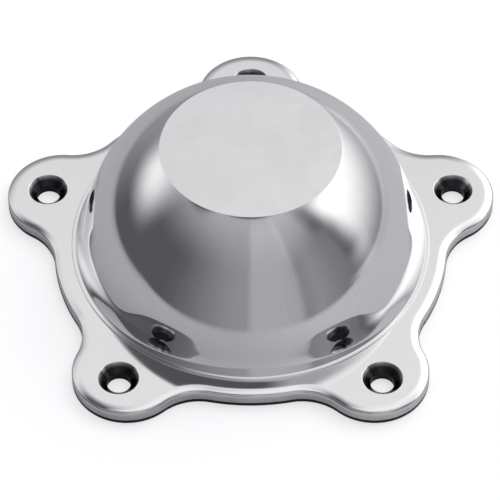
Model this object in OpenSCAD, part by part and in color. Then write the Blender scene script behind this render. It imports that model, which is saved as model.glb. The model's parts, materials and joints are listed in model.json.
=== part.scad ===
// Wheel center cap: a hollow dome with a flat face, standing on a round plate with screw ears.
// It is one cast piece, polished outside. All lengths are in millimetres.
// The origin is the middle of the screw circle, on the mounting face, and Z points out of the wheel.

/* [Flange] */
// Diameter of the circle that the screw holes lie on
screw_circle_d = 101.6; // [99:0.2:108]
// Number of ears around the plate
ear_count = 5; // [3:1:6]
// Thickness of the plate and its ears
flange_t = 4; // [3.2:0.1:6]
// Diameter of the round plate between the ears
plate_d = 92.4; // [91:0.2:96]
// Radius of the rounded end of an ear
ear_r = 12.7; // [11:0.1:14]
// How far an ear reaches past the middle of its screw hole
ear_reach = 9.4; // [8:0.1:11]
// Radius of the hollow blend between an ear and the plate
ear_blend_r = 12; // [8:0.5:16]
// Radius of the rounded upper edge all around the outline
edge_round = 0.8; // [0.4:0.1:1.5]

/* [Screw holes] */
// Diameter of the clearance bore for a flat-head screw
screw_bore_d = 5.5; // [4:0.1:6.5]
// Diameter of the countersink at the surface
sink_d = 9.3; // [7.5:0.1:12]
// Full angle of the countersink in degrees
sink_angle = 90; // [80:1:100]

/* [Shoulder] */
// Height of the low rim around the foot of the dome, above the plate
rim_h = 0.3; // [0.2:0.05:0.8]
// Width of the rim's flat top
rim_land = 0.9; // [0.5:0.1:1.4]
// Radius of the hollow flare that runs from the dome's side out to the rim
flare_r = 12; // [8:0.5:15]
// Lean of the flare where it meets the rim, in degrees from upright
foot_lean = 33; // [28:1:38]

/* [Dome] */
// Diameter of the dome's curve where it would stand upright
dome_d = 79.3; // [78:0.1:80.4]
// Height of the flat face above the mounting face
cap_h = 36.1; // [34:0.1:38]
// Radius of the curve between the flat face and the side
crown_r = 38.2; // [36.5:0.1:39.5]
// Diameter of the flat face
face_d = 41.6; // [39:0.2:44]
// Lean of the dome's side between its curve and the flare, in degrees from upright
side_lean = 12; // [9:0.5:14]
// Thickness of the dome's wall
wall_t = 3; // [2:0.1:4.5]
// Thickness of the flat face
face_t = 3; // [2:0.1:5]

/* [Hidden] */
$fn = 128;
// Small overlap that lets two rounded surfaces cross where they would only touch
graze = 0.02;
// Length by which a cut runs past the face that it opens
clear = 1;
// The flange is built a touch too thick and then faced off flat
blank_t = flange_t + graze / 2;
plate_r = plate_d / 2;
hole_ring_r = screw_circle_d / 2;
ear_centre_r = hole_ring_r + ear_reach - ear_r;
// The blend circle touches the plate circle and the ear circle from outside
blend_far = plate_r + ear_blend_r;
blend_near = ear_r + ear_blend_r;
squares_sum = pow(blend_far, 2) + pow(ear_centre_r, 2) - pow(blend_near, 2);
blend_angle = acos(squares_sum / (2 * blend_far * ear_centre_r));
blend_at = [blend_far * cos(blend_angle), blend_far * sin(blend_angle)];
// A web starts this far inside the plate's edge
web_root_inset = 7;
web_root_r = plate_r - web_root_inset;
// Heights of the middles of the curves that round the upper edge, on a pad and in a blend
edge_centre_z = flange_t + graze - edge_round;
edge_flare_r = edge_round + graze;
edge_flare_z = flange_t + graze - edge_flare_r;
sink_depth = (sink_d - screw_bore_d) / 2 / tan(sink_angle / 2);
dome_r = dome_d / 2;
face_r = face_d / 2;
// The dome's curve would stand upright at this height
side_h = cap_h - sqrt(pow(crown_r, 2) - pow(face_r - dome_r + crown_r, 2));
crown_centre = [dome_r - crown_r, side_h];
// The leaning side leaves the curve here
side_top = crown_centre + (crown_r - graze) * [cos(side_lean), sin(side_lean)];
// The flare starts on the leaning side and ends on top of the rim
rim_top_z = flange_t + rim_h;
flare_top_z = rim_top_z + flare_r * (sin(foot_lean) - sin(side_lean));
flare_top_r = side_top[0] + (side_top[1] - flare_top_z) * tan(side_lean);
flare_centre = [flare_top_r + flare_r * cos(side_lean) - graze, flare_top_z + flare_r * sin(side_lean)];
foot_r = flare_centre[0] - flare_r * cos(foot_lean);
rim_r = foot_r + rim_land;

// Point at a distance and an angle from a given middle
function around(middle, distance, angle) = middle + distance * [cos(angle), sin(angle)];

// Half section of a round pad whose upper edge is rounded
module pad_section(pad_r) {
  square([pad_r - edge_round, blank_t]);
  square([pad_r, edge_centre_z]);
  intersection() {
    translate([pad_r - edge_round, edge_centre_z])
      circle(r = edge_round);
    square([pad_r + clear, blank_t]);
  }
}

// Half section of the tool that hollows a blend: it flares where the upper edge is rounded
module blend_tool_section(tool_r) {
  difference() {
    translate([0, -clear])
      square([tool_r + edge_flare_r, flange_t + 2 * clear]);
    translate([tool_r, -2 * clear])
      square([2 * edge_flare_r, edge_flare_z + 2 * clear]);
    translate([tool_r + edge_flare_r, edge_flare_z])
      circle(r = edge_flare_r);
  }
}

// Web on one side of an ear, which carries the hollow blend
module web() {
  difference() {
    linear_extrude(blank_t)
      polygon([around([0, 0], web_root_r, blend_angle), [web_root_r, 0], [ear_centre_r, 0], blend_at]);
    translate(blend_at)
      rotate_extrude()
        blend_tool_section(ear_blend_r + graze);
  }
}

// One ear with its two webs
module ear() {
  translate([ear_centre_r, 0])
    rotate_extrude()
      pad_section(ear_r);
  web();
  mirror([0, 1, 0])
    web();
}

// The plate with its ears
module flange() {
  difference() {
    union() {
      rotate_extrude()
        pad_section(plate_r);
      for (i = [0 : ear_count - 1])
        rotate(90 + i * 360 / ear_count)
          ear();
    }
    translate([0, 0, flange_t])
      cylinder(h = 2 * clear, r = 2 * plate_r);
  }
}

// Half section of the shoulder: the low rim, the leaning side and the hollow flare between them
module shoulder_section() {
  square([rim_r, rim_top_z]);
  polygon([[0, 0], [side_top[0] + side_top[1] * tan(side_lean), 0], side_top, [0, side_top[1]]]);
  difference() {
    square([rim_r, flare_top_z]);
    translate(flare_centre)
      circle(r = flare_r);
  }
}

// Half section of the dome, drawn in from its outer surface by inset
module dome_section(inset, floor_z, ceiling_z) {
  intersection() {
    translate([0, floor_z])
      square([dome_r + clear, ceiling_z - floor_z]);
    union() {
      translate([0, side_h - dome_r])
        square([dome_r - inset - graze, dome_r]);
      translate(crown_centre)
        circle(r = crown_r - inset);
    }
  }
}

module screw_hole() {
  translate([hole_ring_r, 0, -clear])
    cylinder(h = flange_t + 2 * clear, d = screw_bore_d);
  translate([hole_ring_r, 0, flange_t - sink_depth])
    cylinder(h = sink_depth + clear, d1 = screw_bore_d, d2 = sink_d + 2 * clear * tan(sink_angle / 2));
}

module center_cap() {
  color("silver")
    difference() {
      union() {
        flange();
        rotate_extrude() {
          shoulder_section();
          dome_section(0, 0, cap_h);
        }
      }
      rotate_extrude()
        dome_section(wall_t, -clear, cap_h - face_t);
      for (i = [0 : ear_count - 1])
        rotate(90 + i * 360 / ear_count)
          screw_hole();
    }
}

center_cap();
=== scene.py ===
"""Looks of a wheel center cap: one polished casting with a brushed flat face, in a plain soft studio."""

import json
from math import acos, asin, atan2, cos, degrees, pi, radians, sin, sqrt, tan

import bmesh
import bpy
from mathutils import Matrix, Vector


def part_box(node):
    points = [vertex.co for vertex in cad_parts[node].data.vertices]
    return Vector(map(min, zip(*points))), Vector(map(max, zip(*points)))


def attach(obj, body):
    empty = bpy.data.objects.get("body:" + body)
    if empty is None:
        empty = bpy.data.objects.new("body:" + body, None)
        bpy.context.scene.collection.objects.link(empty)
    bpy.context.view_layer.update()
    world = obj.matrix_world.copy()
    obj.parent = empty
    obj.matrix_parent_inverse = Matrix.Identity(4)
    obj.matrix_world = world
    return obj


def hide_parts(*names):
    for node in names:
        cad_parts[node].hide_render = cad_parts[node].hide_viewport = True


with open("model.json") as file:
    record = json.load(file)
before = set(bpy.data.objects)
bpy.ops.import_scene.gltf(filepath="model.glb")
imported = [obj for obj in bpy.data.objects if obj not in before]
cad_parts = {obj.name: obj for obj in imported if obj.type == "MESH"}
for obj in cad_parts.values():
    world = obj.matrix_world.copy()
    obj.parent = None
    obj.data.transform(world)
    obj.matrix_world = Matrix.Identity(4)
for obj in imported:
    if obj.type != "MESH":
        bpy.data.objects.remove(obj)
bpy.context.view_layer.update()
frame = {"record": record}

bl_info = {
    "name": "Wheel Center Cap",
    "version": (1, 0, 0),
    "blender": (4, 5, 0),
    "location": "3D View > Sidebar > Center Cap",
    "description": "Builds a polished wheel center cap and the studio that it lies in",
    "category": "Add Mesh",
}

MM = 0.001
NODE = "center_cap"
SCREW_CIRCLE = next(m for m in frame["record"]["mounts"] if m["name"] == "screw_circle")["dims"]
LOWEST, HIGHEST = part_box(NODE)

# The finishes of the casting, in the order of its material slots. The fifth is a band of painted contact
# shade along the lower edge
FINISHES = ("polish", "face", "shelf", "edge", "shaded_skirt", "bore", "underside")

# Share of a corner's radius that is kept flat beside it, so that flat stretches reflect as true planes
HOLD = 0.35

# Steps of the meshed arcs: small corners, the outer edge, and the outline's three kinds of arc
CORNER_STEPS = 5
EDGE_STEPS = 7
PLATE_STEPS = 8
BLEND_STEPS = 18
EAR_STEPS = 52

# The ears' shares of the casting are joined where their vertices lie this close
WELD_DISTANCE = 0.002 * MM


def length(name, description, size):
    """A length that a user can change, in metres."""
    return bpy.props.FloatProperty(name=name, description=description, default=size, min=0.0, unit="LENGTH")


def angle(name, description, size):
    """An angle that a user can change, given in degrees."""
    return bpy.props.FloatProperty(
        name=name, description=description, default=radians(size), subtype="ANGLE", unit="ROTATION")


def share(name, description, value, top=1.0):
    """A plain number that a user can change."""
    return bpy.props.FloatProperty(name=name, description=description, default=value, min=0.0, max=top)


def colour(name, description, rgb):
    """A colour that a user can change."""
    return bpy.props.FloatVectorProperty(
        name=name, description=description, default=rgb, min=0.0, max=1.0, size=3, subtype="COLOR")


class CENTERCAP_PG_sizes(bpy.types.PropertyGroup):
    """Sizes of the casting."""

    hole_ring_r: length("Screw circle", "Radius of the screw circle", SCREW_CIRCLE["pcd_mm"] / 2 * MM)
    bore_r: length("Bore", "Radius of a screw's clearance bore", SCREW_CIRCLE["hole_r_mm"] * MM)
    ear_count: bpy.props.IntProperty(
        name="Ears", description="Number of ears around the plate", default=SCREW_CIRCLE["count"], min=3)
    sink_r: length("Countersink", "Radius of the countersink at the surface", 4.65 * MM)
    sink_half_angle: angle("Countersink half angle", "Between a screw's axis and the cone", 45.0)
    flange_t: length("Flange", "Thickness of the plate and its ears", 4.0 * MM)
    plate_r: length("Plate", "Radius of the plate between the ears", 46.2 * MM)
    ear_r: length("Ear", "Radius of the rounded end of an ear", 12.7 * MM)
    ear_tip_r: length("Ear tip", "Distance of an ear's tip from the axis", HIGHEST.y)
    blend_r: length("Blend", "Radius of the hollow blend between ear and plate", 12.0 * MM)
    crown_w: length("Edge crown", "Width over which the top dips towards the outline", 1.75 * MM)
    crown_drop: length("Edge dip", "How far the top dips there", 0.22 * MM)
    edge_round: length("Edge", "Radius of the rounded upper edge of the outline", 0.7 * MM)
    bottom_round: length("Lower edge", "Radius that breaks the lower edges", 0.5 * MM)
    # Painted contact shade: height of the near-black band along the lower edge
    contact_shade_h: length("Stained band", "Height of the unpolished band around the lower edge", 1.3 * MM)
    mouth_round: length("Mouth", "Radius that breaks the mouth of a countersink", 0.2 * MM)
    rim_h: length("Rim height", "Height of the low rim above the plate", 0.3 * MM)
    rim_land: length("Rim land", "Width of the rim's flat top", 0.9 * MM)
    flare_r: length("Flare", "Radius of the hollow flare from the dome's side out to the rim", 12.0 * MM)
    foot_lean: angle("Foot lean", "Lean of the flare where it meets the rim", 33.0)
    side_lean: angle("Side lean", "Lean of the side between the dome's curve and the flare", 12.0)
    fine_round: length("Fine corner", "Radius that softens the rim's corners", 0.1 * MM)
    dome_r: length("Dome", "Radius of the dome's curve where it would stand upright", 39.65 * MM)
    crown_r: length("Crown curve", "Radius of the curve between the flat face and the side", 38.2 * MM)
    cap_h: length("Height", "Height of the flat face above the mounting face", HIGHEST.z)
    face_r: length("Flat face", "Radius of the flat face", 20.8 * MM)
    face_round: length("Face edge", "Radius that softens the edge of the flat face", 0.15 * MM)
    wall_t: length("Wall", "Thickness of the dome's wall and of its flat face", 3.0 * MM)
    hollow_round: length("Hollow corner", "Radius of the corner inside the hollow", 1.0 * MM)


class CENTERCAP_PG_finish(bpy.types.PropertyGroup):
    """Colours and gloss of the metal."""

    metal: colour("Metal", "Colour of the polished metal", (0.87, 0.87, 0.88))
    edge_metal: colour("Edge", "Colour of the satin outer edge", (0.80, 0.80, 0.81))
    cast_metal: colour("Cast", "Colour of the bare casting underneath", (0.35, 0.35, 0.355))
    # Painted contact shade: a near-black colour for the band along the lower edge
    contact_shade_metal: colour("Contact shade", "Colour of the unpolished lower edge", (0.05, 0.05, 0.053))
    # Painted shade: the dark colour deep in the screw holes, where their shadow falls
    hole_shade_metal: colour("Countersink", "Colour of the stained depth of a screw hole", (0.045, 0.045, 0.05))
    mouth_shade: share("Mouth shade", "Share of the metal's colour left at a countersink's mouth", 0.65)
    dull_from: length("Dull from", "Height above which the dome is polished less well", 20.0 * MM)
    gloss_roughness: share("Polish roughness", "Roughness of the polished surfaces", 0.06)
    face_roughness: share("Face roughness", "Roughness of the brushed flat face", 0.22)
    satin_roughness: share("Satin roughness", "Roughness of the outer edge", 0.32)
    turned_roughness: share("Turned roughness", "Roughness of the rim and the screw holes", 0.15)
    # Roughness of that band of painted contact shade
    contact_shade_roughness: share("Stained roughness", "Roughness of the unpolished lower edge", 0.4)
    cast_roughness: share("Cast roughness", "Roughness of the bare casting", 0.5)


class CENTERCAP_PG_studio(bpy.types.PropertyGroup):
    """Camera, floor and light."""

    camera_distance: length("Distance", "From the camera to the middle of the mounting face", 698.8 * MM)
    camera_height: bpy.props.FloatProperty(
        name="Height", description="Angle of the camera above the floor", default=radians(49.81),
        subtype="ANGLE", unit="ROTATION")
    lens: bpy.props.FloatProperty(name="Lens", description="Focal length in mm", default=213.0, min=1.0)
    shift: bpy.props.FloatVectorProperty(
        name="Shift", description="How far the picture is shifted, in picture widths",
        default=(-0.00124, 0.00088), size=2)
    floor_size: length("Floor", "Side of the square floor", 12.0)
    floor_colour: colour("Floor colour", "Colour of the floor", (0.75, 0.748, 0.765))
    floor_glow: share("Floor glow", "What the floor adds where the camera sees it", 0.62, 2.0)
    left_glow: share("Left glow", "What the floor adds at its left, in metal and glass", 0.02, 2.0)
    right_glow: share("Right glow", "What the floor adds at its right, in metal and glass", 0.12, 2.0)
    table_near: length("Table", "Distance to which metal and glass show the whole floor", 140.0 * MM)
    table_far: length("Room", "Distance from which metal and glass show the room instead", 420.0 * MM)
    table_front: length("Front", "Distance in front where metal and glass show half of each", 112.0 * MM)
    front_border: length("Front border", "Half width of that change", 25.0 * MM)


def sizes():
    """The casting's sizes."""
    return bpy.context.scene.center_cap_sizes


def finish():
    """The metal's finish."""
    return bpy.context.scene.center_cap_finish


def studio():
    """The studio's settings."""
    return bpy.context.scene.center_cap_studio


def arc(middle, radius, start, end, steps):
    """Points of an arc about a middle, from one angle to another in degrees, both ends included."""
    turns = [radians(start + (end - start) * k / steps) for k in range(steps + 1)]
    return [Vector((middle[0] + radius * cos(t), middle[1] + radius * sin(t))) for t in turns]


def heading(vector):
    """Direction of a flat vector, in degrees."""
    return degrees(atan2(vector[1], vector[0]))


def softened(path):
    """A line through (point, radius) pairs: a corner with a radius becomes an arc with a flat beside it."""
    points = []
    for k, (corner, radius) in enumerate(path):
        corner = Vector(corner)
        if radius == 0:
            points.append(corner)
            continue
        back = (Vector(path[k - 1][0]) - corner).normalized()
        ahead = (Vector(path[k + 1][0]) - corner).normalized()
        half = acos(max(-1.0, min(1.0, back.dot(ahead)))) / 2
        reach = radius / tan(half)
        middle = corner + (back + ahead).normalized() * radius / sin(half)
        start = heading(corner + back * reach - middle)
        turn = (heading(corner + ahead * reach - middle) - start + 180) % 360 - 180
        points.append(corner + back * (reach + HOLD * radius))
        points += arc(middle, radius, start, start + turn, CORNER_STEPS)
        points.append(corner + ahead * (reach + HOLD * radius))
    return points


def dome_section(s, inset, ceiling, corner_r, lean, step_angle):
    """The dome's section drawn in by an inset, from the corner under its ceiling down to a given lean."""
    crown_x = s.dome_r - s.crown_r
    middle = Vector((crown_x, s.cap_h - sqrt(s.crown_r ** 2 - (s.face_r - crown_x) ** 2)))
    crown_r = s.crown_r - inset
    corner_z = ceiling - corner_r - middle.y
    corner_x = sqrt((crown_r - corner_r) ** 2 - corner_z ** 2)
    top = degrees(atan2(corner_z, corner_x))
    corner = middle + Vector((corner_x, corner_z))
    points = [Vector((corner.x - HOLD * corner_r, ceiling))]
    points += arc(corner, corner_r, 90, top, CORNER_STEPS)
    return points + arc(middle, crown_r, top, lean, round((top - lean) / step_angle))[1:]


def outer_sections(s):
    """Stretches of the outside's half section from the middle of the face to the plate: (finish, points)."""
    curve_step = 1.2
    lean = degrees(s.side_lean)
    foot_lean = degrees(s.foot_lean)
    dome = dome_section(s, 0.0, s.cap_h, s.face_round, lean, curve_step)
    rim_top = s.flange_t + s.rim_h
    flare_z = rim_top + s.flare_r * (sin(s.foot_lean) - sin(s.side_lean))
    flare_x = dome[-1].x + (dome[-1].y - flare_z) * tan(s.side_lean)
    middle = Vector((flare_x, flare_z)) + s.flare_r * Vector((cos(s.side_lean), sin(s.side_lean)))
    flare = arc(middle, s.flare_r, 180 + lean, 180 + foot_lean, round((foot_lean - lean) / curve_step))
    foot = flare[-1]
    rim_x = foot.x + s.rim_land
    rim = softened([
        (flare[-2], 0),
        (foot, s.fine_round),
        ((rim_x, rim_top), s.fine_round),
        ((rim_x, s.flange_t), s.fine_round),
        ((rim_x + s.rim_land, s.flange_t), 0),
    ])
    edge_end = CORNER_STEPS + 1
    return [
        ("face", [Vector((0.0, s.cap_h))] + dome[:edge_end + 1]),
        ("polish", dome[edge_end:] + flare[:-2]),
        ("shelf", [flare[-3]] + rim[:-1]),
    ]


def hollow_section(s):
    """The hollow's half section, from its middle down to the mounting face."""
    coarse_step = 3.0
    ceiling = s.cap_h - s.wall_t
    dome = dome_section(s, s.wall_t, ceiling, s.hollow_round, 0.0, coarse_step)
    mouth = softened([(dome[-1], 0), ((s.dome_r - s.wall_t, 0.0), s.bottom_round), ((s.plate_r, 0.0), 0)])
    return [Vector((0.0, ceiling))] + dome + mouth[1:-1]


def outline_arcs(s):
    """The arcs of one ear's share of the outline: middle, radius, start, end, steps, and -1 if hollow."""
    half = 180 / s.ear_count
    ear_middle = Vector((s.ear_tip_r - s.ear_r, 0.0))
    far = s.plate_r + s.blend_r
    near = s.ear_r + s.blend_r
    turn = acos((far ** 2 + ear_middle.x ** 2 - near ** 2) / (2 * far * ear_middle.x))
    blend = Vector((far * cos(turn), far * sin(turn)))
    below = Vector((blend.x, -blend.y))
    turn = degrees(turn)
    ear_turn = heading(blend - ear_middle)
    return [
        (Vector((0.0, 0.0)), s.plate_r, -half, -turn, PLATE_STEPS, 1),
        (below, s.blend_r, 180 - turn, 180 - ear_turn, BLEND_STEPS, -1),
        (ear_middle, s.ear_r, -ear_turn, ear_turn, EAR_STEPS, 1),
        (blend, s.blend_r, ear_turn - 180, turn - 180, BLEND_STEPS, -1),
        (Vector((0.0, 0.0)), s.plate_r, turn, half, PLATE_STEPS, 1),
    ]


def outline_ring(s, inset, z):
    """Points of one ear's share of the outline, drawn in by an inset."""
    ring = []
    for middle, radius, start, end, steps, side in outline_arcs(s):
        points = arc(middle, radius - side * inset, start, end, steps)
        ring += points[1:] if ring else points
    return [Vector((p.x, p.y, z)) for p in ring]


def edge_rows(s):
    """Inset and height of each ring down the outer edge, from the top face to the mounting face."""
    crown_r = (s.crown_w ** 2 + s.crown_drop ** 2) / (2 * s.crown_drop)
    slope = degrees(asin(s.crown_w / crown_r))
    width = s.crown_w + s.edge_round * (1 - sin(radians(slope)))
    drop = s.flange_t - s.crown_drop - s.edge_round * cos(radians(slope))
    crown = arc((width, s.flange_t - crown_r), crown_r, 90, 90 + slope, EDGE_STEPS)
    upper = arc((s.edge_round, drop), s.edge_round, 90 + slope, 180, EDGE_STEPS)
    lower = arc((s.bottom_round, s.bottom_round), s.bottom_round, 180, 270, CORNER_STEPS)
    hold = HOLD * s.bottom_round
    rows = [Vector((width + hold, s.flange_t))] + crown + upper[1:] + [Vector((0.0, drop - hold))]
    # The band from this height down is painted near black as contact shade
    rows += [Vector((0.0, s.contact_shade_h)), Vector((0.0, s.bottom_round + hold))]
    return rows + lower + [Vector((s.bottom_round + hold, 0.0))]


def hole_rows(s):
    """Radius and height of each ring down a screw hole, from the top face to the mounting face."""
    cone_z = s.flange_t - (s.sink_r - s.bore_r) / tan(s.sink_half_angle)
    path = softened([
        ((2 * s.sink_r, s.flange_t), 0),
        ((s.sink_r, s.flange_t), s.mouth_round),
        ((s.bore_r, cone_z), s.fine_round),
        ((s.bore_r, 0.0), s.mouth_round),
        ((2 * s.sink_r, 0.0), 0),
    ])
    return path[1:-1]


class Sector:
    """One ear's share of the casting, as a mesh that is open on its two sides."""

    ROUND_STEPS = 64
    HOLE_STEPS = 56

    def __init__(self, s):
        self.s = s
        self.bm = bmesh.new()
        self.finish = self.bm.faces.layers.int.new("finish")
        self.half = 180 / s.ear_count

    def face(self, corners, finish_name):
        """One face with its finish. Corners that are the same vertex count once."""
        distinct = list(dict.fromkeys(corners))
        made = self.bm.faces.new(distinct)
        made[self.finish] = FINISHES.index(finish_name)

    def strip(self, upper, lower, finish_name):
        """Faces between two rings of equally many vertices."""
        for k in range(len(upper) - 1):
            self.face((upper[k], lower[k], lower[k + 1], upper[k + 1]), finish_name)

    def ring(self, radius, z):
        """One ring of a turned surface, or its middle point."""
        if radius == 0:
            return [self.bm.verts.new((0.0, 0.0, z))] * (self.ROUND_STEPS + 1)
        points = arc((0.0, 0.0), radius, -self.half, self.half, self.ROUND_STEPS)
        return [self.bm.verts.new((p.x, p.y, z)) for p in points]

    def turned(self, points, finish_name, first=None):
        """A turned surface through section points, joined to a first ring if given. Returns the last ring."""
        ring = first or self.ring(points[0].x, points[0].y)
        for point in points[1:]:
            following = self.ring(point.x, point.y)
            self.strip(ring, following, finish_name)
            ring = following
        return ring

    def rings(self, rows, finish_name):
        """A surface through rings of points. Returns its first and last ring of vertices."""
        made = [[self.bm.verts.new(p) for p in row] for row in rows]
        for upper, lower in zip(made, made[1:]):
            self.strip(upper, lower, finish_name)
        return made[0], made[-1]

    def hole_ring(self, radius, z):
        """Points of one ring of the screw hole. The last is the first again."""
        ring = arc((self.s.hole_ring_r, 0.0), radius, 0, 360, self.HOLE_STEPS)
        return [Vector((p.x, p.y, z)) for p in ring]

    def hole(self):
        """The screw hole. Returns its upper and lower ring."""
        rows = [self.hole_ring(row.x, row.y) for row in hole_rows(self.s)]
        made = [[self.bm.verts.new(p) for p in row[:-1]] for row in rows]
        made = [row + row[:1] for row in made]
        mouth_rows = CORNER_STEPS + 2
        for k, (upper, lower) in enumerate(zip(made, made[1:])):
            self.strip(upper, lower, "polish" if k < mouth_rows else "bore")
        return made[0], made[-1]

    def flat(self, inner, outer, hole, finish_name):
        """A flat face between an inner ring and the outline, with the screw hole in it."""
        sides = [(inner[0], outer[0]), (inner[-1], outer[-1])]
        pairs = [p for ring in (inner, outer, hole) for p in zip(ring, ring[1:])] + sides
        edges = [self.bm.edges.get(pair) or self.bm.edges.new(pair) for pair in pairs]
        made = bmesh.ops.triangle_fill(self.bm, edges=edges, use_beauty=True)["geom"]
        for item in made:
            if isinstance(item, bmesh.types.BMFace):
                item[self.finish] = FINISHES.index(finish_name)

    def build(self):
        """The whole sector as a mesh. The rows of the outer edge are shared where its finish changes."""
        s = self.s
        ring = None
        for finish_name, points in outer_sections(s):
            ring = self.turned(points, finish_name, ring)
        hollow = self.turned(hollow_section(s), "underside")
        rows = edge_rows(s)
        rounded = 2 * EDGE_STEPS + 3
        # The outer edge's rings from here down take the painted contact shade
        shadowed = len(rows) - CORNER_STEPS - 4
        outline = [outline_ring(s, row.x, row.y) for row in rows]
        top = self.rings(outline[:rounded], "polish")[0]
        self.rings(outline[rounded - 1:shadowed + 1], "edge")
        bottom = self.rings(outline[shadowed:], "shaded_skirt")[1]
        mouth, lower_mouth = self.hole()
        self.flat(ring, top, mouth, "polish")
        self.flat(hollow, bottom, lower_mouth, "underside")
        mesh = bpy.data.meshes.new("ear_sector")
        self.bm.to_mesh(mesh)
        self.bm.free()
        return mesh


class Tree:
    """Places nodes in a node tree and links them."""

    def __init__(self, tree):
        self.tree = tree

    def add(self, kind, **settings):
        """A node, with its own settings, and with values or links for its inputs by name or number."""
        inputs = settings.pop("inputs", {})
        node = self.tree.nodes.new(kind)
        for key, value in settings.items():
            setattr(node, key, value)
        for key, value in inputs.items():
            self.feed(node.inputs[key], value)
        return node

    def feed(self, socket, value):
        """Sets an input to a value, or links an output to it."""
        if isinstance(value, bpy.types.NodeSocket):
            self.tree.links.new(value, socket)
        else:
            socket.default_value = value

    def math(self, operation, *values):
        """A Math node's result."""
        node = self.add("ShaderNodeMath", operation=operation)
        for socket, value in zip(node.inputs, values):
            self.feed(socket, value)
        return node.outputs[0]

    def smooth(self, value, low, high, out_low=0.0, out_high=1.0):
        """A smooth step from out_low to out_high, as the value goes from low to high."""
        node = self.add("ShaderNodeMapRange", interpolation_type="SMOOTHSTEP")
        for socket, item in zip(node.inputs, (value, low, high, out_low, out_high)):
            self.feed(socket, item)
        return node.outputs[0]


def repeat_tree():
    """The node tree that repeats one ear's share of the casting around the axis and gives it its finishes."""
    tree = bpy.data.node_groups.new("cap_around_axis", "GeometryNodeTree")
    new = tree.interface.new_socket
    new("Geometry", in_out="INPUT", socket_type="NodeSocketGeometry")
    new("Ears", in_out="INPUT", socket_type="NodeSocketInt")
    new("First Ear", in_out="INPUT", socket_type="NodeSocketFloat")
    new("Weld Distance", in_out="INPUT", socket_type="NodeSocketFloat")
    for finish_name in FINISHES:
        new(finish_name, in_out="INPUT", socket_type="NodeSocketMaterial")
    new("Geometry", in_out="OUTPUT", socket_type="NodeSocketGeometry")
    t = Tree(tree)
    given = t.add("NodeGroupInput").outputs
    points = t.add("GeometryNodePoints", inputs={"Count": given["Ears"]})
    index = t.add("GeometryNodeInputIndex").outputs[0]
    step = t.math("DIVIDE", 2 * pi, given["Ears"])
    angle = t.math("MULTIPLY_ADD", index, step, given["First Ear"])
    turn = t.add("ShaderNodeCombineXYZ", inputs={"Z": angle})
    copies = t.add("GeometryNodeInstanceOnPoints", inputs={
        "Points": points.outputs[0], "Instance": given["Geometry"], "Rotation": turn.outputs[0]})
    real = t.add("GeometryNodeRealizeInstances", inputs={0: copies.outputs[0]})
    welded = t.add("GeometryNodeMergeByDistance", inputs={
        "Geometry": real.outputs[0], "Distance": given["Weld Distance"]})
    shape = t.add("GeometryNodeSetShadeSmooth", inputs={0: welded.outputs[0]}).outputs[0]
    stored = t.add("GeometryNodeInputNamedAttribute", data_type="INT", inputs={"Name": "finish"}).outputs[0]
    for k, finish_name in enumerate(FINISHES):
        chosen = t.add("FunctionNodeCompare", data_type="INT", operation="EQUAL")
        t.feed(chosen.inputs[2], stored)
        chosen.inputs[3].default_value = k
        shape = t.add("GeometryNodeSetMaterial", inputs={
            "Geometry": shape, "Selection": chosen.outputs[0], "Material": given[finish_name]}).outputs[0]
    t.add("NodeGroupOutput", inputs={0: shape})
    return tree


def set_inputs(modifier, values):
    """Sets a modifier's inputs, by the identifier of each named socket."""
    for item in modifier.node_group.interface.items_tree:
        if item.item_type == "SOCKET" and item.in_out == "INPUT" and item.name in values:
            modifier[item.identifier] = values[item.name]


def settled(piece):
    """Turns a piece's modifiers into its plain mesh, with its faces pointing outwards."""
    evaluated = piece.evaluated_get(bpy.context.evaluated_depsgraph_get())
    mesh = bpy.data.meshes.new_from_object(evaluated)
    piece.modifiers.clear()
    piece.data = mesh
    mesh.name = piece.name
    bm = bmesh.new()
    bm.from_mesh(mesh)
    open_edges = sum(not e.is_manifold for e in bm.edges)
    if open_edges:
        raise RuntimeError(f"{piece.name} has {open_edges} open edges")
    bmesh.ops.recalc_face_normals(bm, faces=bm.faces)
    bm.to_mesh(mesh)
    bm.free()
    return piece


def group_frame(name, inputs, outputs):
    """A shader node group with named inputs, each with its default, and named outputs."""
    tree = bpy.data.node_groups.new(name, "ShaderNodeTree")
    for socket_name, default in inputs.items():
        kind = "NodeSocketVector" if isinstance(default, tuple) else "NodeSocketFloat"
        tree.interface.new_socket(socket_name, in_out="INPUT", socket_type=kind).default_value = default
    for socket_name, kind in outputs.items():
        tree.interface.new_socket(socket_name, in_out="OUTPUT", socket_type=kind)
    t = Tree(tree)
    return t, t.add("NodeGroupInput").outputs, t.add("NodeGroupOutput").inputs


def soft_box_group():
    """A soft box in the studio's light, as a mask over directions: its place, half sizes and soft borders."""
    t, given, out = group_frame("soft_box", {
        "Direction": (0.0, 0.0, 0.0), "Azimuth": 0.0, "Height": 30.0, "Half Width": 30.0,
        "Half Height": 20.0, "Side Border": 5.0, "Lower Border": 5.0, "Upper Border": 5.0,
    }, {"Mask": "NodeSocketFloat"})
    axes = t.add("ShaderNodeSeparateXYZ", inputs={0: given["Direction"]}).outputs
    azimuth = t.math("DEGREES", t.math("ARCTAN2", axes["Y"], axes["X"]))
    height = t.math("DEGREES", t.math("ARCSINE", axes["Z"]))
    aside = t.math("ABSOLUTE", t.math("WRAP", t.math("SUBTRACT", azimuth, given["Azimuth"]), -180.0, 180.0))
    above = t.math("SUBTRACT", height, given["Height"])
    side_room = t.math("SUBTRACT", given["Half Width"], aside)
    upper_room = t.math("SUBTRACT", given["Half Height"], above)
    lower_room = t.math("ADD", given["Half Height"], above)
    side = t.smooth(t.math("DIVIDE", side_room, given["Side Border"]), -1.0, 1.0)
    upper = t.smooth(t.math("DIVIDE", upper_room, given["Upper Border"]), -1.0, 1.0)
    lower = t.smooth(t.math("DIVIDE", lower_room, given["Lower Border"]), -1.0, 1.0)
    t.feed(out["Mask"], t.math("MULTIPLY", t.math("MULTIPLY", side, upper), lower))
    return t.tree


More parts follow.
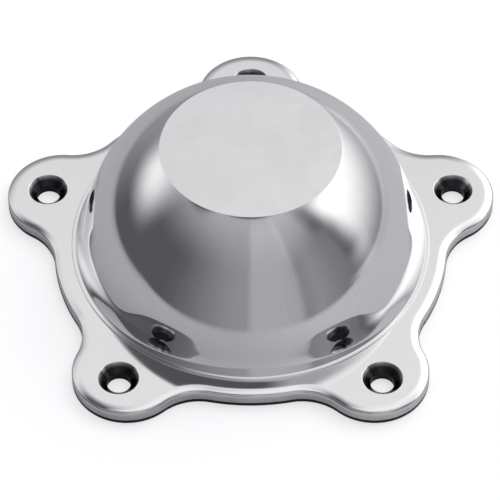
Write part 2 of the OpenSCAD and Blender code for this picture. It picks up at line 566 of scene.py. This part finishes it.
def grain_group():
    """Fine straight marks that a belt or cloth leaves along X, as a height and a mask that varies slowly."""
    t, given, out = group_frame("polishing_grain", {
        "Vector": (0.0, 0.0, 0.0), "Fineness": 3000.0, "Stretch": 0.03, "Cloud Size": 0.02,
    }, {"Height": "NodeSocketFloat", "Cloud": "NodeSocketFloat"})
    squeeze = t.add("ShaderNodeCombineXYZ", inputs={"X": given["Stretch"], "Y": 1.0, "Z": 1.0}).outputs[0]
    along = t.add("ShaderNodeVectorMath", operation="MULTIPLY", inputs={0: given["Vector"], 1: squeeze})
    lines = t.add("ShaderNodeTexNoise", inputs={
        "Vector": along.outputs[0], "Scale": given["Fineness"], "Detail": 3.0})
    size = t.math("DIVIDE", 1.0, given["Cloud Size"])
    cloud = t.add("ShaderNodeTexNoise", inputs={"Vector": given["Vector"], "Scale": size, "Detail": 2.0})
    t.feed(out["Height"], lines.outputs[0])
    t.feed(out["Cloud"], t.smooth(cloud.outputs[0], 0.35, 0.65))
    return t.tree


def turning_group():
    """Fine rings that a lathe tool leaves around an axis, as a height."""
    t, given, out = group_frame("turning_marks", {
        "Vector": (0.0, 0.0, 0.0), "Pitch": 0.0003, "Wander": 0.3,
    }, {"Height": "NodeSocketFloat"})
    axes = t.add("ShaderNodeSeparateXYZ", inputs={0: given["Vector"]}).outputs
    radius = t.math("SQRT", t.math("ADD", t.math("POWER", axes["X"], 2.0), t.math("POWER", axes["Y"], 2.0)))
    place = t.add("ShaderNodeCombineXYZ", inputs={"X": radius, "Y": axes["Z"]}).outputs[0]
    fineness = t.math("DIVIDE", 1.0, given["Pitch"])
    noise = t.add("ShaderNodeTexNoise", noise_dimensions="2D",
                  inputs={"Vector": place, "Scale": fineness, "Detail": 2.0}).outputs[0]
    turns = t.math("DIVIDE", t.math("ADD", radius, axes["Z"]), given["Pitch"])
    wave = t.math("SINE", t.math("MULTIPLY_ADD", turns, 2 * pi, t.math("MULTIPLY", noise, 6.0)))
    t.feed(out["Height"], t.math("MULTIPLY_ADD", noise, given["Wander"], t.math("MULTIPLY", wave, 0.5)))
    return t.tree


class Metal:
    """A metal material: its Principled shader with object coordinates, ready for its marks."""

    def __init__(self, name, rgb, roughness):
        self.material = bpy.data.materials.new(name)
        self.material.use_nodes = True
        self.t = Tree(self.material.node_tree)
        self.shader = self.material.node_tree.nodes["Principled BSDF"]
        self.shader.inputs["Metallic"].default_value = 1.0
        self.shader.inputs["Base Color"].default_value = (*rgb, 1.0)
        self.shader.inputs["Roughness"].default_value = roughness
        self.place = self.t.add("ShaderNodeTexCoord").outputs["Object"]

    def group(self, tree, place=None, **values):
        """A shared effect with this material's values, laid out by its object coordinates or by a place."""
        node = self.t.add("ShaderNodeGroup", node_tree=tree)
        self.t.feed(node.inputs["Vector"], place or self.place)
        for key, value in values.items():
            self.t.feed(node.inputs[key.replace("_", " ").title()], value)
        return node.outputs

    def bump(self, height, distance):
        """Raises the surface by a height, over a distance in metres."""
        node = self.t.add("ShaderNodeBump", inputs={"Height": height, "Strength": 1.0, "Distance": distance})
        self.t.feed(self.shader.inputs["Normal"], node.outputs[0])

    def vary(self, socket_name, mask, low, high):
        """Lets one of the shader's values follow a mask."""
        self.t.feed(self.shader.inputs[socket_name], self.t.smooth(mask, 0.0, 1.0, low, high))

    def tint(self, mask, low, high):
        """Lets the base colour follow a mask."""
        node = self.t.add("ShaderNodeMix", data_type="RGBA")
        self.t.feed(node.inputs[0], mask)
        node.inputs[6].default_value = (*low, 1.0)
        node.inputs[7].default_value = (*high, 1.0)
        self.t.feed(self.shader.inputs["Base Color"], node.outputs[2])


def shaded(rgb, factor):
    """A colour times a factor."""
    return tuple(factor * c for c in rgb)


def polished_metal(grain):
    """Polished metal: a little duller high on the dome, with faint streaks down the dome's side."""
    f = finish()
    dome_r = sizes().dome_r
    metal = Metal("polished_metal", f.metal, f.gloss_roughness)
    t = metal.t
    marks = metal.group(grain, fineness=2500.0, stretch=0.1, cloud_size=0.012)
    metal.bump(marks["Height"], 0.2e-6)

    axes = t.add("ShaderNodeSeparateXYZ", inputs={0: metal.place}).outputs
    duller = t.smooth(axes["Z"], f.dull_from, f.dull_from + 15 * MM, 1.0, 1.5)
    uneven = t.smooth(marks["Cloud"], 0.0, 1.0, 0.8 * f.gloss_roughness, 1.4 * f.gloss_roughness)
    t.feed(metal.shader.inputs["Roughness"], t.math("MULTIPLY", duller, uneven))

    # The grain's long direction follows the height, and its other two go around the axis
    flat = t.add("ShaderNodeCombineXYZ", inputs={"X": axes["X"], "Y": axes["Y"]}).outputs[0]
    outward = t.add("ShaderNodeVectorMath", operation="NORMALIZE", inputs={0: flat}).outputs[0]
    around = t.add("ShaderNodeSeparateXYZ", inputs={0: outward}).outputs
    down_the_side = t.add("ShaderNodeCombineXYZ", inputs={
        "X": axes["Z"],
        "Y": t.math("MULTIPLY", around["X"], dome_r),
        "Z": t.math("MULTIPLY", around["Y"], dome_r),
    })
    streaks = metal.group(grain, down_the_side.outputs[0], fineness=1400.0, stretch=0.08, cloud_size=0.02)
    on_dome = t.smooth(axes["Z"], 7 * MM, 14 * MM)
    streak = t.math("MULTIPLY_ADD", t.math("SUBTRACT", streaks["Height"], 0.5), on_dome, 0.5)
    metal.tint(streak, shaded(f.metal, 0.955), shaded(f.metal, 1.04))
    return metal


def grained_metal(name, rgb, roughness, grain, depth, **marks_shape):
    """Metal with the marks of a belt or of the mould, this deep in metres. Returns its slow clouds too."""
    metal = Metal(name, rgb, roughness)
    marks = metal.group(grain, **marks_shape)
    metal.bump(marks["Height"], depth)
    return metal, marks["Cloud"]


def cap_materials():
    """The casting's finishes by name."""
    f = finish()
    grain = grain_group()
    turning = turning_group()

    polish = polished_metal(grain)

    face, cloud = grained_metal(
        "brushed_face", f.metal, f.face_roughness, grain, 5e-6,
        fineness=1800.0, stretch=0.03, cloud_size=0.008)
    face.vary("Roughness", cloud, 0.85 * f.face_roughness, 1.15 * f.face_roughness)
    face.tint(cloud, shaded(f.metal, 0.97), shaded(f.metal, 1.03))

    shelf = Metal("turned_shelf", f.metal, f.turned_roughness)
    marks = shelf.group(turning, pitch=0.35 * MM)
    shelf.vary("Roughness", marks["Height"], 0.67 * f.turned_roughness, 1.2 * f.turned_roughness)
    shelf.bump(marks["Height"], 4e-6)

    edge, cloud = grained_metal(
        "satin_edge", f.edge_metal, f.satin_roughness, grain, 4e-6,
        fineness=2500.0, stretch=0.5, cloud_size=0.004)
    edge.vary("Roughness", cloud, 0.85 * f.satin_roughness, 1.15 * f.satin_roughness)
    edge.tint(cloud, shaded(f.edge_metal, 0.92), shaded(f.edge_metal, 1.05))

    # Painted contact shade: a near-black band along the lower edge, standing in for the shadow where the cap
    # meets the floor
    shaded_skirt, cloud = grained_metal(
        "painted_contact_shade", f.contact_shade_metal, f.contact_shade_roughness, grain, 10e-6,
        fineness=1500.0, stretch=1.0, cloud_size=0.003)
    shaded_skirt.vary("Roughness", cloud, 0.75 * f.contact_shade_roughness, 1.25 * f.contact_shade_roughness)

    # Painted shade in the screw holes: near black in their depth, rising towards the mouth to the metal times
    # the mouth shade
    bore = Metal("drilled_bore", f.hole_shade_metal, f.turned_roughness)
    marks = bore.group(turning, pitch=0.25 * MM)
    height = bore.t.add("ShaderNodeSeparateXYZ", inputs={0: bore.place}).outputs["Z"]
    shade_end = sizes().flange_t + 0.1 * MM
    bright = bore.t.smooth(height, shade_end - 1 * MM, shade_end)
    bore.tint(bright, f.hole_shade_metal, shaded(f.metal, f.mouth_shade))
    bore.vary("Roughness", marks["Height"], 0.67 * f.turned_roughness, 1.33 * f.turned_roughness)
    bore.bump(marks["Height"], 4e-6)

    underside, cloud = grained_metal(
        "bare_casting", f.cast_metal, f.cast_roughness, grain, 15e-6,
        fineness=1500.0, stretch=1.0, cloud_size=0.01)
    underside.vary("Roughness", cloud, 0.9 * f.cast_roughness, 1.1 * f.cast_roughness)
    underside.tint(cloud, shaded(f.cast_metal, 0.9), shaded(f.cast_metal, 1.05))

    made = (polish, face, shelf, edge, shaded_skirt, bore, underside)
    return {name: metal.material for name, metal in zip(FINISHES, made)}


class CENTERCAP_OT_build_casting(bpy.types.Operator):
    """Build the cap's casting: dome, flared foot, plate and ears, with the hollow underneath"""

    bl_idname = "center_cap.build_casting"
    bl_label = "Casting"

    def execute(self, context):
        s = sizes()
        piece = bpy.data.objects.new("cap_casting", Sector(s).build())
        context.scene.collection.objects.link(piece)
        modifier = piece.modifiers.new("around_axis", "NODES")
        modifier.node_group = repeat_tree()
        values = {"Ears": s.ear_count, "First Ear": pi / 2, "Weld Distance": WELD_DISTANCE}
        set_inputs(modifier, {**values, **cap_materials()})
        settled(piece)
        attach(piece, "root")
        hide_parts(NODE)
        return {"FINISHED"}


def place_camera(context):
    """The camera looks at the middle of the mounting face, a little off the middle of its picture."""
    g = studio()
    data = bpy.data.cameras.new("camera")
    data.lens = g.lens
    data.sensor_width = 36.0
    data.clip_start = 0.01
    data.shift_x, data.shift_y = g.shift
    camera = bpy.data.objects.new("camera", data)
    context.scene.collection.objects.link(camera)
    camera.location = g.camera_distance * Vector((0.0, -cos(g.camera_height), sin(g.camera_height)))
    camera.rotation_euler = (-camera.location).to_track_quat("-Z", "Y").to_euler()
    context.scene.camera = camera


def floor_material():
    """Pale floor, white to the camera. Metal and glass show it near the cap, and beyond it the room."""
    g = studio()
    material = bpy.data.materials.new("studio_floor")
    material.use_nodes = True
    t = Tree(material.node_tree)
    shader = material.node_tree.nodes["Principled BSDF"]
    shader.inputs["Base Color"].default_value = (*g.floor_colour, 1.0)
    shader.inputs["Roughness"].default_value = 1.0
    shader.inputs["Specular IOR Level"].default_value = 0.0
    shader.inputs["Emission Color"].default_value = WHITE
    path = t.add("ShaderNodeLightPath").outputs
    mirrored = t.math("MAXIMUM", path["Is Glossy Ray"], path["Is Transmission Ray"])
    seen = t.math("MULTIPLY", path["Is Camera Ray"], g.floor_glow)
    place = t.add("ShaderNodeTexCoord").outputs["Object"]
    axes = t.add("ShaderNodeSeparateXYZ", inputs={0: place}).outputs
    to_the_right = t.smooth(axes["X"], -20 * MM, 60 * MM, g.left_glow, g.right_glow)
    t.feed(shader.inputs["Emission Strength"], t.math("MULTIPLY_ADD", mirrored, to_the_right, seen))
    away = t.add("ShaderNodeVectorMath", operation="LENGTH", inputs={0: place}).outputs["Value"]
    front = t.smooth(axes["Y"], -g.table_front - g.front_border, -g.table_front + g.front_border, 1.0, 0.0)
    edge = t.math("MAXIMUM", front, t.smooth(away, g.table_near, g.table_far))
    beyond = t.math("MULTIPLY", mirrored, edge)
    room = t.add("ShaderNodeBsdfTransparent").outputs[0]
    mixed = t.add("ShaderNodeMixShader", inputs={0: beyond, 1: shader.outputs[0], 2: room})
    t.feed(material.node_tree.nodes["Material Output"].inputs["Surface"], mixed.outputs[0])
    return material


def lay_floor(context):
    """The floor under the mounting face."""
    half = studio().floor_size / 2
    bm = bmesh.new()
    corners = [bm.verts.new((x * half, y * half, 0.0)) for x, y in ((-1, -1), (1, -1), (1, 1), (-1, 1))]
    bm.faces.new(corners)
    mesh = bpy.data.meshes.new("floor")
    bm.to_mesh(mesh)
    bm.free()
    mesh.materials.append(floor_material())
    floor = bpy.data.objects.new("floor", mesh)
    context.scene.collection.objects.link(floor)


# Lights of the studio: strength, azimuth, height, half width, half height, side, lower and upper border.
# Azimuth runs anticlockwise from the right, seen from above. All angles are in degrees.
LIGHTS = {
    "ceiling": (0.35, 0.0, 90.0, 200.0, 42.5, 5.0, 22.5, 5.0),
    "overhead_shade": (-0.35, -144.0, 77.5, 92.0, 8.0, 22.0, 2.0, 4.0),
    "left_shade": (-0.8, 148.0, 65.0, 46.0, 8.0, 24.0, 7.0, 5.0),
    "front_wall": (0.21, -83.0, -20.0, 38.0, 65.0, 30.0, 5.0, 20.0),
    "front_strip": (0.12, -74.0, -10.0, 16.5, 76.0, 3.0, 5.0, 10.0),
    "front_strip_top": (0.07, -47.0, 57.0, 14.0, 18.0, 7.0, 9.0, 10.0),
    "front_right_wall": (0.09, -25.0, 5.0, 25.0, 30.0, 6.0, 5.0, 10.0),
    "right_box": (1.1, 32.0, 32.0, 44.0, 20.0, 9.0, 24.0, 12.0),
    "right_box_corner": (-0.30, -10.0, 25.0, 7.0, 14.0, 6.0, 5.0, 9.0),
    "right_box_side": (-0.12, -22.0, 50.0, 7.0, 10.0, 5.0, 5.0, 5.0),
    "right_floor": (0.3, 26.0, -34.0, 46.0, 33.0, 8.0, 5.0, 1.5),
    "left_box": (0.85, 153.0, 27.5, 18.5, 11.0, 16.0, 10.0, 12.0),
    "back_wall": (0.2, 90.0, 0.0, 50.0, 90.0, 25.0, 5.0, 5.0),
    "back_ceiling": (0.32, 90.0, 60.0, 75.0, 22.0, 25.0, 12.0, 12.0),
}

# Level and hue of the room itself. Its lights are white.
PLAIN_LEVEL = 0.10
ROOM_HUE = (0.985, 0.976, 1.04, 1.0)
WHITE = (1.0, 1.0, 1.0, 1.0)


def light_world(context):
    """The studio's light: a dim room with soft boxes and a brighter ceiling. The camera sees it white."""
    world = bpy.data.worlds.new("studio_light")
    context.scene.world = world
    world.use_nodes = True
    t = Tree(world.node_tree)
    background = world.node_tree.nodes["Background"]
    direction = t.add("ShaderNodeTexCoord").outputs["Generated"]
    tree = soft_box_group()
    level = PLAIN_LEVEL
    for strength, *shape in LIGHTS.values():
        box = t.add("ShaderNodeGroup", node_tree=tree)
        for socket, value in zip(box.inputs, (direction, *shape)):
            t.feed(socket, value)
        level = t.math("MULTIPLY_ADD", box.outputs[0], strength, level)
    seen = t.add("ShaderNodeLightPath").outputs["Is Camera Ray"]
    level = t.math("MAXIMUM", t.math("MAXIMUM", level, PLAIN_LEVEL), seen)
    t.feed(background.inputs["Strength"], level)
    hue = t.add("ShaderNodeMix", data_type="RGBA")
    t.feed(hue.inputs[0], t.smooth(level, 0.45, 0.85))
    hue.inputs[6].default_value = ROOM_HUE
    hue.inputs[7].default_value = WHITE
    t.feed(background.inputs["Color"], hue.outputs[2])


class CENTERCAP_OT_build_stage(bpy.types.Operator):
    """Build the studio: camera, pale floor and soft light"""

    bl_idname = "center_cap.build_stage"
    bl_label = "Studio"

    def execute(self, context):
        place_camera(context)
        lay_floor(context)
        light_world(context)
        context.scene.view_settings.view_transform = "Standard"
        return {"FINISHED"}


class CENTERCAP_PT_panel(bpy.types.Panel):
    """Lists the cap's builders and sizes"""

    bl_idname = "CENTERCAP_PT_panel"
    bl_label = "Center Cap"
    bl_space_type = "VIEW_3D"
    bl_region_type = "UI"
    bl_category = "Center Cap"

    def draw(self, context):
        layout = self.layout
        for operator in OPERATORS:
            layout.operator(operator.bl_idname)
        for group in (sizes(), finish(), studio()):
            for name in group.__annotations__:
                layout.prop(group, name)


GROUPS = {
    "center_cap_sizes": CENTERCAP_PG_sizes,
    "center_cap_finish": CENTERCAP_PG_finish,
    "center_cap_studio": CENTERCAP_PG_studio,
}
OPERATORS = (CENTERCAP_OT_build_stage, CENTERCAP_OT_build_casting)


def register():
    """Adds the settings, the operators and the panel."""
    for name, group in GROUPS.items():
        bpy.utils.register_class(group)
        setattr(bpy.types.Scene, name, bpy.props.PointerProperty(type=group))
    for kind in (*OPERATORS, CENTERCAP_PT_panel):
        bpy.utils.register_class(kind)


def unregister():
    """Takes them away again."""
    for kind in reversed((*OPERATORS, CENTERCAP_PT_panel)):
        bpy.utils.unregister_class(kind)
    for name, group in GROUPS.items():
        delattr(bpy.types.Scene, name)
        bpy.utils.unregister_class(group)


def main():
    """Builds the studio and the cap."""
    register()
    bpy.ops.center_cap.build_stage()
    bpy.ops.center_cap.build_casting()


if __name__ == "__main__":
    main()
